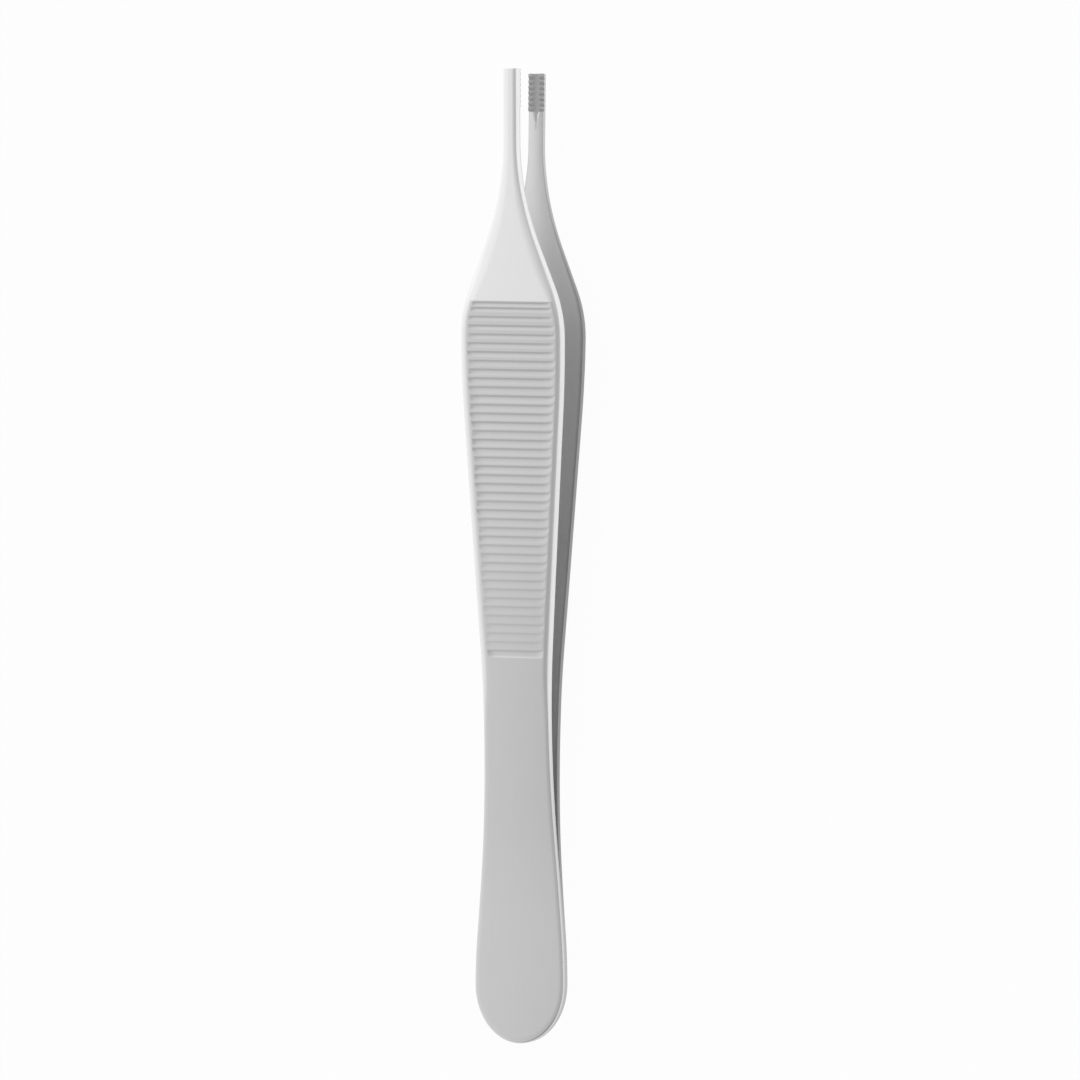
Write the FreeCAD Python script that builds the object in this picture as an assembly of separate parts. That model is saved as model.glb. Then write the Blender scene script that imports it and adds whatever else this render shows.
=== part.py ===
"""Thumb forceps with two rows of fine side teeth on each narrow jaw.

Two springy arms are welded face to face at the butt and bow apart towards the jaws.
The upper arm is built flat: X across, Y along the arm from the butt's end to the tip, Z away from
the plane in which the arms meet. The lower arm is its mirror image, with its teeth half a pitch along.
At the end both are turned until the lower arm rests on its butt and on its bow, on the plane Z = 0.
All sizes are in millimetres.
"""
import FreeCAD, Part
import math
import os

Vector = FreeCAD.Vector

# Length and plan outline of an arm: widths, and where along the arm they are
LENGTH = 120.0
BUTT_WIDTH = 11.35
BUTT_LENGTH = 7.3
WAIST_WIDTH = 8.4
WAIST_FROM_BUTT = 38.9
GRIP_WIDTH = 12.9
GRIP_FROM_TIP = 33.0
NECK_WIDTH = 1.94
NECK_LENGTH = 8.8

# How quickly each stretch of the outline takes up its slope, as shares of that stretch
BUTT_BLEND = (0.19, 0.51)
GRIP_BLEND = (0.22, 0.20)
FLANK_BLEND = (0.26, 0.54)

# Side view: where the arms leave each other, and how far apart the tips stand
WELD_LENGTH = 15.0
BEND_LENGTH = 11.4
TIP_GAP = 11.2
BOW_SHARE = 0.29

# Depth ground off the bow's outer face, which leaves a straight stretch that the forceps stands on
GRIND_DEPTH = 0.08

# Thickness of an arm
SPRING_THICKNESS = 1.1
GRIP_THICKNESS = 1.6
JAW_THICKNESS = 1.35
SPRING_RUN = 45.0
SPRING_BLEND = (0.3, 0.6)

# Rim between the outer face and the side: width, depth and fullness
HANDLE_RIM = (0.34, 0.30, 1.0)
PANEL_RIM = (0.60, 0.40, 0.75)
JAW_RIM = (0.30, 0.45, 0.25)
INNER_EDGE = 0.12

# Soft roll-off from the flat of the outer face down to the rim: width and depth
HANDLE_ROLL = (0.30, 0.02)
PANEL_ROLL = (0.30, 0.03)
FLANK_ROLL = (1.20, 0.12)
JAW_ROLL = (0.34, 0.10)
FLANK_ROLL_RUN = 6.0
RIM_RUN = 10.0

# Grip panel of shallow grooves with narrow lands: steep wall towards the tip, long wall towards the butt
PANEL_FROM_TIP = 28.67
PANEL_LENGTH = 43.72
FIRST_PITCH = 0.68
GROOVE_PITCH = 1.08
GROOVE_WIDTH = 0.92
GROOVE_FLOOR = 0.30
STEEP_WALL = 0.16
GROOVE_DEPTH = 0.11
GROOVE_SKEW = 1.2

# Toothed jaw
TEETH_LENGTH = 4.7
TOOTH_PITCH = 0.67
TOOTH_DEPTH = 0.30
TOOTH_CREST = 0.06
JAW_PROUD = 0.12
JAW_SIDE_PROUD = 0.04
TROUGH_WIDTH = 0.90
TROUGH_DEPTH = 0.34
TROUGH_TAIL = 2.2

# Lofting: distance between sections, and a margin by which cutters clear the arm
SECTION_STEP = 4.0
FINE_SECTION_STEP = 2.0
CUT_MARGIN = 1.0
GROOVE_CLEAR = 0.2
STEEPEST_REST = math.radians(20.0)

GRIP_STATION = LENGTH - GRIP_FROM_TIP
NECK_STATION = LENGTH - NECK_LENGTH
PANEL_TOP = LENGTH - PANEL_FROM_TIP
PANEL_FOOT = PANEL_TOP - PANEL_LENGTH


def s_curve(share, lead, trail):
    """Rise from 0 to 1 whose slope builds up over lead, holds, and dies away over trail."""
    steepest = 1.0 / (1.0 - lead / 2.0 - trail / 2.0)
    if share <= lead:
        return steepest * share ** 2 / (2.0 * lead)
    if share <= 1.0 - trail:
        return steepest * (share - lead / 2.0)
    return 1.0 - steepest * (1.0 - share) ** 2 / (2.0 * trail)


def blend(station, start, end, before, after):
    """Value at a station that passes smoothly from before, at start, to after, at end."""
    share = min(max((station - start) / (end - start), 0.0), 1.0)
    return before + (after - before) * s_curve(share, 0.5, 0.5)


def half_width(station):
    """Half the arm's width: waist between butt and grip, then the flank in to the parallel neck."""
    butt, waist, grip, neck = BUTT_WIDTH / 2, WAIST_WIDTH / 2, GRIP_WIDTH / 2, NECK_WIDTH / 2
    if station <= WAIST_FROM_BUTT:
        share = (station - BUTT_LENGTH) / (WAIST_FROM_BUTT - BUTT_LENGTH)
        return butt + (waist - butt) * s_curve(share, *BUTT_BLEND)
    if station <= GRIP_STATION:
        share = (station - WAIST_FROM_BUTT) / (GRIP_STATION - WAIST_FROM_BUTT)
        return waist + (grip - waist) * s_curve(share, *GRIP_BLEND)
    share = min((station - GRIP_STATION) / (NECK_STATION - GRIP_STATION), 1.0)
    return grip + (neck - grip) * s_curve(share, *FLANK_BLEND)


def inner_height(station):
    """Height of the inner face over the weld plane: flat weld, bend, then a bow that slowly flattens."""
    run = LENGTH - WELD_LENGTH - BEND_LENGTH
    splay = TIP_GAP / 2 / (BEND_LENGTH / 2 + (1 + BOW_SHARE) / 2 * run)
    past_weld = station - WELD_LENGTH
    if past_weld <= 0:
        return 0.0
    if past_weld <= BEND_LENGTH:
        return splay * past_weld ** 2 / (2 * BEND_LENGTH)
    past_bend = past_weld - BEND_LENGTH
    return splay * (BEND_LENGTH / 2 + past_bend - (1 - BOW_SHARE) * past_bend ** 2 / (2 * run))


def slope_of(height, station):
    """Angle to the weld plane, at a station, of the face whose height a function gives."""
    reach = SECTION_STEP / 10
    return math.atan2(height(station) - height(station - reach), reach)


def thickness(station):
    """Thin at the spring, thickest under the grip, and less again at the jaw."""
    if station <= GRIP_STATION:
        share = min(max((station - WELD_LENGTH) / SPRING_RUN, 0.0), 1.0)
        return SPRING_THICKNESS + (GRIP_THICKNESS - SPRING_THICKNESS) * s_curve(share, *SPRING_BLEND)
    return blend(station, GRIP_STATION, NECK_STATION, GRIP_THICKNESS, JAW_THICKNESS)


def bow_height(station):
    """Height of the outer face over the weld plane before the bow is ground straight."""
    return inner_height(station) + thickness(station)


def outer_height(station):
    """Height of the flat of the outer face over the weld plane."""
    if station <= WELD_LENGTH:
        return bow_height(station)
    stand_height = (STAND_LIFT + station * math.sin(STAND_ANGLE)) / math.cos(STAND_ANGLE)
    return min(bow_height(station), stand_height)


def rim(station):
    """Width, depth and fullness of the rim at a station."""
    if station <= PANEL_TOP:
        return [blend(station, PANEL_FOOT - RIM_RUN, PANEL_FOOT, low, high)
                for low, high in zip(HANDLE_RIM, PANEL_RIM)]
    return [blend(station, PANEL_TOP, NECK_STATION, low, high)
            for low, high in zip(PANEL_RIM, JAW_RIM)]


def roll(station):
    """Width and depth of the roll-off beside the flat of the outer face."""
    widest = PANEL_TOP + FLANK_ROLL_RUN
    if station <= PANEL_FOOT:
        return HANDLE_ROLL
    if station <= widest:
        return [blend(station, PANEL_TOP - FLANK_ROLL_RUN / 2, widest, low, high)
                for low, high in zip(PANEL_ROLL, FLANK_ROLL)]
    return [blend(station, widest, NECK_STATION, low, high)
            for low, high in zip(FLANK_ROLL, JAW_ROLL)]


def edge_chain(station):
    """Corner points of the right half of a section, from the inner face up to the flat of the outer.

    Each item holds the points of one edge in the section's plane: two for a straight line, and
    three, with the middle one as the pole, for a curve. The rim is two facets that meet in a knee.
    """
    side = half_width(station)
    foot = inner_height(station)
    top = outer_height(station)
    rim_width, rim_depth, fullness = rim(station)
    roll_width, roll_depth = roll(station)
    crease = (side - rim_width, top - roll_depth)
    shoulder = (side, top - roll_depth - rim_depth)
    knee = (side - rim_width / 2 * (1 - fullness / 2), top - roll_depth - rim_depth / 2 * (1 - fullness / 2))
    flat_edge = (crease[0] - roll_width, top)
    roll_pole = (crease[0] - roll_width / 2, top)
    inner_edge = (side - INNER_EDGE, foot)
    side_foot = (side, foot + INNER_EDGE)
    return [
        (inner_edge, side_foot),
        (side_foot, shoulder),
        (shoulder, knee),
        (knee, crease),
        (crease, roll_pole, flat_edge),
    ]


def stations(start, end, step):
    """Evenly spaced stations from start to end, about a step apart."""
    count = max(2, math.ceil((end - start) / step))
    return [start + (end - start) * index / count for index in range(count + 1)]


def support(points, angle):
    """How far the lowest of some points under the lower arm lies below the butt's end after a turn."""
    return max(depth * math.cos(angle) - along * math.sin(angle) for along, depth in points)


def butt_points():
    """Corners of the lower arm's rim and flat at the very end of the butt, in the side view."""
    stretch = BUTT_LENGTH / (BUTT_WIDTH / 2)
    chain = edge_chain(BUTT_LENGTH)
    return [(BUTT_LENGTH - stretch * x, depth) for points in chain for x, depth in points]


def rest_angle():
    """Turn that brings the lower arm's butt and its ground bow down to one level, and that level."""
    butt = butt_points()
    bow = [(s, bow_height(s)) for s in stations(WELD_LENGTH, LENGTH, SECTION_STEP / 40)]
    low, high = 0.0, STEEPEST_REST
    for _ in range(50):
        angle = (low + high) / 2
        if support(bow, angle) - GRIND_DEPTH > support(butt, angle):
            low = angle
        else:
            high = angle
    return angle, support(butt, angle)


STAND_ANGLE, STAND_LIFT = rest_angle()


def make_edge(points, station, sign=1.0):
    """Line or curve through the points of one edge, in the plane of its station."""
    poles = [Vector(sign * x, station, z) for x, z in points]
    if len(poles) == 2:
        return Part.LineSegment(poles[0], poles[1]).toShape()
    curve = Part.BezierCurve()
    curve.setPoles(poles)
    return curve.toShape()


def section(station):
    """Closed section of the arm at a station."""
    chain = edge_chain(station)
    inner_edge = chain[0][0]
    flat_edge = chain[-1][-1]
    edges = [make_edge([(-inner_edge[0], inner_edge[1]), inner_edge], station)]
    edges += [make_edge(points, station) for points in chain]
    edges.append(make_edge([flat_edge, (-flat_edge[0], flat_edge[1])], station))
    edges += [make_edge(points[::-1], station, -1.0) for points in reversed(chain)]
    return Part.Wire(edges)


def make_butt():
    """Rounded end: half a turn of the section beside it, stretched along the arm."""
    chain = edge_chain(BUTT_LENGTH)
    inner_edge = chain[0][0]
    flat_edge = chain[-1][-1]
    edges = [make_edge([(0.0, inner_edge[1]), inner_edge], 0.0)]
    edges += [make_edge(points, 0.0) for points in chain]
    edges.append(make_edge([flat_edge, (0.0, flat_edge[1])], 0.0))
    edges.append(make_edge([(0.0, flat_edge[1]), (0.0, inner_edge[1])], 0.0))
    half_disc = Part.Face(Part.Wire(edges)).revolve(Vector(0, 0, 0), Vector(0, 0, 1), -180)
    stretch = FreeCAD.Matrix()
    stretch.scale(1.0, BUTT_LENGTH / (BUTT_WIDTH / 2), 1.0)
    stretch.move(Vector(0, BUTT_LENGTH, 0))
    return half_disc.transformGeometry(stretch)


def with_true_planes(solid):
    """Same solid, with each of its flat faces carried by a plane."""
    faces = []
    for face in solid.Faces:
        plane = face.findPlane()
        flat = face if plane is None else Part.Face(plane, face.OuterWire)
        middle = [sum(face.ParameterRange[i:i + 2]) / 2 for i in (0, 2)]
        flat_middle = [sum(flat.ParameterRange[i:i + 2]) / 2 for i in (0, 2)]
        if flat.normalAt(*flat_middle).dot(face.normalAt(*middle)) < 0:
            flat.reverse()
        faces.append(flat)
    return Part.Solid(Part.Shell(faces))


def make_blank():
    """Arm without grooves or teeth: butt, flat weld length and bowed length."""
    weld = Part.makeLoft([section(s) for s in stations(BUTT_LENGTH, WELD_LENGTH, FINE_SECTION_STEP)], True)
    handle = with_true_planes(make_butt()).fuse(with_true_planes(weld)).removeSplitter()
    bowed = stations(WELD_LENGTH, GRIP_STATION, SECTION_STEP)
    bowed += stations(GRIP_STATION, NECK_STATION, FINE_SECTION_STEP)[1:]
    bowed += stations(NECK_STATION, LENGTH, SECTION_STEP)[1:]
    arm = Part.makeLoft([section(s) for s in bowed], True)
    return handle.fuse(arm)


def place(shape, station, height, slope, skew=0.0):
    """Move a shape from a frame on the arm's face, turned by the face's slope and a skew, to the arm's."""
    turn = FreeCAD.Rotation(Vector(1, 0, 0), math.degrees(slope))
    turn = turn.multiply(FreeCAD.Rotation(Vector(0, 0, 1), -skew))
    shape.Placement = FreeCAD.Placement(Vector(0, station, height), turn)
    return shape


def make_bar(profile, half_length):
    """Straight bar across the arm with a profile of (along, up) points."""
    corners = [Vector(-half_length, along, up) for along, up in profile]
    face = Part.Face(Part.makePolygon(corners + corners[:1]))
    return face.extrude(Vector(2 * half_length, 0, 0))


def make_groove(station):
    """Cutter across the outer face, slightly out of square like the real grooves."""
    mouth = GROOVE_WIDTH / 2
    front = mouth - STEEP_WALL
    back = front - GROOVE_FLOOR
    rise = 1 + GROOVE_CLEAR / GROOVE_DEPTH
    profile = [
        (front + STEEP_WALL * rise, GROOVE_CLEAR),
        (front, -GROOVE_DEPTH),
        (back, -GROOVE_DEPTH),
        (back - (mouth + back) * rise, GROOVE_CLEAR),
    ]
    bar = make_bar(profile, GRIP_WIDTH / 2 + CUT_MARGIN)
    return place(bar, station, outer_height(station), slope_of(outer_height, station), GROOVE_SKEW)


def make_panel_cutters():
    """Grooves of the grip panel from the flank to the handle; the second comes sooner than the rest."""
    first = PANEL_TOP - GROOVE_WIDTH / 2
    count = round((PANEL_LENGTH - FIRST_PITCH) / GROOVE_PITCH)
    middles = [first] + [first - FIRST_PITCH - GROOVE_PITCH * index for index in range(count)]
    return [make_groove(middle) for middle in middles]


def place_at_jaw(shape):
    """Move a shape from the jaw's own frame, Y along its inner face to the tip, to the arm's frame."""
    return place(shape, LENGTH, inner_height(LENGTH), slope_of(inner_height, LENGTH))


def make_jaw_pad():
    """Toothed face's own thickness: a shallow pad that stands a little proud of the inner face."""
    half = NECK_WIDTH / 2 + JAW_SIDE_PROUD
    depth = JAW_PROUD + JAW_THICKNESS / 2
    corner = Vector(-half, -TEETH_LENGTH, -JAW_PROUD)
    return place_at_jaw(Part.makeBox(2 * half, TEETH_LENGTH, depth, corner))


def make_trough():
    """Hollow along the middle of the jaw, which runs out to a point behind the teeth."""
    radius = ((TROUGH_WIDTH / 2) ** 2 + TROUGH_DEPTH ** 2) / (2 * TROUGH_DEPTH)
    height = TROUGH_DEPTH - JAW_PROUD - radius
    back = Vector(0, -TEETH_LENGTH, height)
    run = Part.makeCylinder(radius, TEETH_LENGTH + CUT_MARGIN, back, Vector(0, 1, 0))
    tail = Part.makeCone(radius, 0, TROUGH_TAIL, back, Vector(0, -1, 0))
    return [place_at_jaw(run), place_at_jaw(tail)]


def make_tooth_cutters(offset):
    """V notches across both rails of the jaw; offset moves them along by a share of the pitch."""
    half = (TOOTH_PITCH - TOOTH_CREST) / 2
    side = NECK_WIDTH / 2 + JAW_SIDE_PROUD + CUT_MARGIN
    flare = half / TOOTH_DEPTH
    count = int(TEETH_LENGTH / TOOTH_PITCH)
    mouth = half + flare * CUT_MARGIN
    base = -JAW_PROUD - CUT_MARGIN
    cutters = []
    for index in range(count):
        middle = -(index + offset) * TOOTH_PITCH
        profile = [(middle - mouth, base), (middle, TOOTH_DEPTH - JAW_PROUD), (middle + mouth, base)]
        cutters.append(place_at_jaw(make_bar(profile, side)))
    return cutters


def make_arm(tooth_offset):
    """One finished arm, flat in its own frame."""
    arm = make_blank().fuse(make_jaw_pad())
    arm = arm.cut(make_trough())
    arm = arm.cut(make_tooth_cutters(tooth_offset))
    return arm.cut(make_panel_cutters())


def lay_down(shape):
    """Turn a shape about the butt's end and lift it so that the forceps stands on Z = 0."""
    shape.rotate(Vector(0, 0, 0), Vector(1, 0, 0), math.degrees(STAND_ANGLE))
    shape.translate(Vector(0, 0, STAND_LIFT))
    return shape


def main():
    """Build both arms, lay them down, centre them along Y and write one file each."""
    upper_arm = make_arm(0.5)
    lower_arm = make_arm(1.0).mirror(Vector(0, 0, 0), Vector(0, 0, 1))
    arms = {"upper_arm": lay_down(upper_arm), "lower_arm": lay_down(lower_arm)}
    boxes = [shape.optimalBoundingBox() for shape in arms.values()]
    middle = (min(box.YMin for box in boxes) + max(box.YMax for box in boxes)) / 2
    os.makedirs("parts", exist_ok=True)
    for name, shape in arms.items():
        shape.translate(Vector(0, -middle, 0))
        shape.exportStep(f"parts/{name}.step")
        print(name, "solids", len(shape.Solids), "valid", shape.isValid(), "volume", round(shape.Volume, 3))
    print("rest angle", round(math.degrees(STAND_ANGLE), 3), "lift", round(STAND_LIFT, 4),
          "middle", round(middle, 4))


main()
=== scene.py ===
"""Looks, light and camera for thumb forceps with narrow toothed jaws and a cross-grooved grip.

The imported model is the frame. Each of its two arms is replaced by a finer skin of the same sizes, worked
out from the arm's own formulas: outline, bow, rim, roll-off, grip grooves, jaw pad, trough and teeth.
An arm is described flat, as it is cut: x across, s along from the butt's end to the tip, z away from the
plane in which the arms meet. All sizes are in millimetres until a mesh is made, which is in metres.
"""
import logging
import math
from dataclasses import astuple, dataclass, field
from enum import IntEnum
from typing import Any, Callable

import bmesh
import bpy
import numpy as np
from mathutils import Matrix, Vector


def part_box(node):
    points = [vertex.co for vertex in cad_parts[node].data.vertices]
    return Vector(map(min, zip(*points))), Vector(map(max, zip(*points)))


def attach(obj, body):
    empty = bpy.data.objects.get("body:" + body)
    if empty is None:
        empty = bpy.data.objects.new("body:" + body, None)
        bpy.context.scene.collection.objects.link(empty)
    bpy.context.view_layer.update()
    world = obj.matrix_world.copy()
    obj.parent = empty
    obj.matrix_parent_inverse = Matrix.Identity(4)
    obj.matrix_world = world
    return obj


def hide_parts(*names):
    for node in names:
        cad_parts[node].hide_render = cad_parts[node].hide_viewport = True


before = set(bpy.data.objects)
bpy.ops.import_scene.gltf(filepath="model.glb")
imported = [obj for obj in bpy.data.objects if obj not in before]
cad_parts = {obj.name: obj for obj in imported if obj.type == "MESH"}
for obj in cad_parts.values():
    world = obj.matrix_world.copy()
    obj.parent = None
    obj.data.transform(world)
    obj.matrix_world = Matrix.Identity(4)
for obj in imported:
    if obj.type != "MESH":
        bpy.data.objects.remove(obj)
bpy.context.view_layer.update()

log = logging.getLogger("thumb_forceps")

MM = 0.001
WHITE = (1.0, 1.0, 1.0, 1.0)

MARKS = ("recess", "inner", "forward", "polish", "side", "tooth")

Array = np.ndarray


class Layer(IntEnum):
    """Which side of the weld plane an arm lies on."""

    UPPER = 1
    LOWER = -1


class Zone(IntEnum):
    """Stretches of half a section, in order from the middle of the inner face to that of the outer."""

    INNER_FACE = 0
    INNER_EDGE = 1
    SIDE = 2
    RIM = 3
    ROLL_OFF = 4
    OUTER_FACE = 5


@dataclass(frozen=True)
class EdgeForm:
    """Rim and roll-off between the outer face and the side, at one place along an arm.

    Attributes:
        rim_width: how far the rim reaches in from the side.
        rim_depth: how far it reaches down from the crease.
        fullness: 0 is a flat bevel and 1 a fully rounded rim.
        roll_width: width of the soft roll-off inside the rim's crease.
        roll_depth: how far the face has dropped at the crease.
    """

    rim_width: float
    rim_depth: float
    fullness: float
    roll_width: float
    roll_depth: float


@dataclass(frozen=True)
class Outline:
    """Plan outline of an arm: widths, where they are, and how quickly each stretch takes up its slope."""

    length: float = 120.0
    butt_width: float = 11.35
    butt_length: float = 7.3
    waist_width: float = 8.4
    waist_from_butt: float = 38.9
    grip_width: float = 12.9
    grip_from_tip: float = 33.0
    neck_width: float = 1.94
    neck_length: float = 8.8
    butt_blend: tuple = (0.19, 0.51)
    grip_blend: tuple = (0.22, 0.20)
    flank_blend: tuple = (0.26, 0.54)

    @property
    def butt_stretch(self) -> float:
        """Length of the butt's rounded end over half its width."""
        return self.butt_length / (self.butt_width / 2)

    @property
    def grip_station(self) -> float:
        """Where the grip is widest."""
        return self.length - self.grip_from_tip

    @property
    def neck_station(self) -> float:
        """Where the parallel neck begins."""
        return self.length - self.neck_length

    def half_width(self, s: Array) -> Array:
        """Half the width: three S-curves join butt, waist, grip and neck, and the neck is parallel.

        Args:
            s: stations along the arm.

        Returns:
            Half the width at each station.
        """
        stations = (self.butt_length, self.waist_from_butt, self.grip_station, self.neck_station)
        widths = (self.butt_width, self.waist_width, self.grip_width, self.neck_width)
        half = widths[0] / 2
        for index, curve in enumerate((self.butt_blend, self.grip_blend, self.flank_blend)):
            start, end = stations[index:index + 2]
            step = widths[index + 1] / 2 - widths[index] / 2
            half = half + step * s_curve((s - start) / (end - start), *curve)
        return half


@dataclass(frozen=True)
class Profile:
    """Side view of an arm: flat weld, bend, slowly flattening bow, and thickness."""

    weld_length: float = 15.0
    bend_length: float = 11.4
    tip_gap: float = 11.2
    bow_share: float = 0.29
    grind_depth: float = 0.08
    spring_thickness: float = 1.1
    grip_thickness: float = 1.6
    jaw_thickness: float = 1.35
    spring_run: float = 45.0
    spring_blend: tuple = (0.3, 0.6)
    steepest_rest: float = math.radians(20.0)


@dataclass(frozen=True)
class Panel:
    """Cross-grooved grip panel: grooves with a steep wall towards the tip and a long one towards the butt.

    Attributes:
        first_pitch: how soon the second groove follows the first.
        narrow_width: width of the grooves at the flank's end; over opening_run they widen.
        top_fade: share of the depth that is missing at the flank's end.
        foot_fade: share that is missing at the foot, made up over fade_run.
        foot_fullness: share of the depth that the last groove has.
        edge_round: how far the steep wall's edge is rounded.
        end_run: length over which a groove runs out beside the rim's crease.
        end_bend: how far its end turns towards the tip there.
        end_offset: share of end_run by which it reaches past its end.
        uneven: how much the grooves differ in depth and length.
        end_wave: how quickly their lengths change from one to the next; depth_wave, their depths.
        shade_loss: share of the shade that is lost towards the foot of the panel.
        shade_falloff: power with which the shade fades along the long wall.
        skew_fade: length outside the panel over which the mesh's rows stop leaning.
    """

    from_tip: float = 28.67
    length: float = 43.72
    first_pitch: float = 0.68
    pitch: float = 1.08
    groove_width: float = 0.92
    steep_wall: float = 0.20
    groove_depth: float = 0.11
    skew: float = math.radians(1.2)
    narrow_width: float = 0.60
    opening_run: float = 14.0
    top_fade: float = 0.30
    foot_fade: float = 0.65
    fade_run: float = 26.0
    foot_fullness: float = 1.0
    edge_round: float = 0.05
    end_run: float = 0.85
    end_bend: float = 0.16
    uneven: float = 0.12
    end_wave: float = 1.7
    depth_wave: float = 2.4
    end_offset: float = 0.15
    shade_loss: float = 0.8
    shade_falloff: int = 5
    skew_fade: float = 6.0


@dataclass(frozen=True)
class Jaw:
    """Toothed jaw: a pad that stands a little proud, two rails of teeth and a trough between them.

    The trough ends in a cone, the tail, and tail_shade is the share of its radius that takes the toothed
    zone's darker tone, as painted shade.
    """

    teeth_length: float = 4.7
    pitch: float = 0.67
    tooth_depth: float = 0.30
    crest: float = 0.06
    first_gap: float = 0.5
    proud: float = 0.12
    side_proud: float = 0.04
    trough_width: float = 0.90
    trough_depth: float = 0.34
    trough_tail: float = 2.2
    tail_shade: float = 0.5
    tip_round: float = 0.12

    @property
    def notch(self) -> float:
        """Half the width of the gap between two teeth."""
        return (self.pitch - self.crest) / 2

    @property
    def trough_radius(self) -> float:
        """Radius of the round trough that has this width and depth."""
        return ((self.trough_width / 2) ** 2 + self.trough_depth ** 2) / (2 * self.trough_depth)


@dataclass(frozen=True)
class ArmSizes:
    """All the sizes of one arm, and how far its painted highlights and painted shade reach.

    Attributes:
        rim_narrow_run: length beyond the panel over which the rim narrows to the jaw's.
        polish_and_highlight_run: length behind the panel over which the edge's buffed finish and painted
            highlight come up.
        polish_and_highlight_shares: buffed finish and painted highlight on the handle, and what grip, flank
            and neck each add.
        polish_and_highlight_steps: how far the flank's share starts behind the panel's top, and the neck's
            beyond it.
        wall_polish_and_highlight: share of the buffed finish and painted highlight that the upper arm's
            side wall takes.
        side_shade: how far the side wall takes its painted shade and rougher tone at the butt.
        grip_shade: the same on the lower arm's grip; neck_shade_loss of it is lost by the neck.
        edge_shade: share of that painted shade on the lower arm's inner edge.
        foot_shade: how much painted shade lies in a thin line along the foot of the upper arm's wall at the
            neck.
        painted_light_run: how far past panel and neck the painted highlight and shade go on changing.
        tone_step: where the face's painted highlight comes up beyond the panel's top edge, from and to.
        rim_tone_run: half the length over which the rim's painted highlight comes up there.
        handle_crown: how much lower the outer face is at its side than in the middle, at the waist.
        inner_crown: the same for the inner face of the neck, which comes up over inner_crown_run.
    """

    outline: Outline = Outline()
    profile: Profile = Profile()
    panel: Panel = Panel()
    jaw: Jaw = Jaw()
    handle_edge: EdgeForm = EdgeForm(0.34, 0.30, 1.0, 0.30, 0.02)
    panel_edge: EdgeForm = EdgeForm(0.74, 0.40, 0.55, 0.30, 0.012)
    flank_edge: EdgeForm = EdgeForm(0.74, 0.40, 0.50, 1.20, 0.12)
    jaw_edge: EdgeForm = EdgeForm(0.30, 0.32, 0.40, 0.50, 0.09)
    rim_narrow_run: float = 9.0
    polish_and_highlight_run: float = 24.0
    polish_and_highlight_shares: tuple = (0.25, 0.50, 0.10, 0.15)
    polish_and_highlight_steps: tuple = (14.0, 6.0)
    wall_polish_and_highlight: float = 0.80
    side_shade: float = 0.40
    grip_shade: float = 0.92
    neck_shade_loss: float = 0.80
    edge_shade: float = 0.80
    foot_shade: float = 0.80
    painted_light_run: float = 4.0
    tone_step: tuple = (0.02, 0.14)
    rim_tone_run: float = 3.0
    rim_run: float = 10.0
    flank_roll_run: float = 6.0
    inner_edge: float = 0.12
    inner_crown: float = 0.08
    inner_crown_run: float = 12.0
    handle_crown: float = 0.10
    panel_crown: float = 0.05

    @property
    def panel_top(self) -> float:
        """Where the panel meets the flank."""
        return self.outline.length - self.panel.from_tip

    @property
    def panel_foot(self) -> float:
        """Where the panel meets the handle."""
        return self.panel_top - self.panel.length

    @property
    def pad_station(self) -> float:
        """Where the jaw's toothed pad begins."""
        return self.outline.length - self.jaw.teeth_length

    def trough_radius(self, s: Array) -> Array:
        """Radius of the jaw's trough, which is round on the pad and a cone behind it."""
        behind = np.clip(self.pad_station - s, 0.0, None)
        return self.jaw.trough_radius * np.clip(1.0 - behind / self.jaw.trough_tail, 0.0, None)


def s_curve(share: Array, lead: float, trail: float) -> Array:
    """Rise from 0 to 1 whose slope builds up over lead, holds, and dies away over trail.

    The slope is a trapezoid over the share, so the curve is a parabola, a straight line and a parabola.

    Args:
        share: how far along the stretch, cut to 0..1.
        lead: share of the stretch in which the slope builds up.
        trail: share in which it dies away.

    Returns:
        The risen share.
    """
    share = np.clip(share, 0.0, 1.0)
    steepest = 1.0 / (1.0 - lead / 2 - trail / 2)
    rising = steepest * share ** 2 / (2 * lead)
    straight = steepest * (share - lead / 2)
    settling = 1.0 - steepest * (1.0 - share) ** 2 / (2 * trail)
    return np.where(share <= lead, rising, np.where(share <= 1.0 - trail, straight, settling))


def blend(s: Array, start: float, end: float, before: Any, after: Any) -> Array:
    """Value that passes smoothly from before, at start, to after, at end, by an even S-curve."""
    return before + (after - before) * s_curve((s - start) / (end - start), 0.5, 0.5)


def quadratic(t: Array, first: Array, pole: Array, last: Array) -> Array:
    """Quadratic Bezier curve: first, pole and last weighted by (1-t)^2, 2t(1-t) and t^2."""
    return (1 - t) ** 2 * first + 2 * t * (1 - t) * pole + t ** 2 * last


def link(name: str, data: bpy.types.ID) -> bpy.types.Object:
    """Put an object with this mesh, lamp or camera in the scene."""
    thing = bpy.data.objects.new(name, data)
    bpy.context.scene.collection.objects.link(thing)
    return thing


@dataclass(frozen=True)
class Stand:
    """How the forceps lies: turned by an angle about the butt's end and lifted."""

    angle: float
    lift: float


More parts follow.
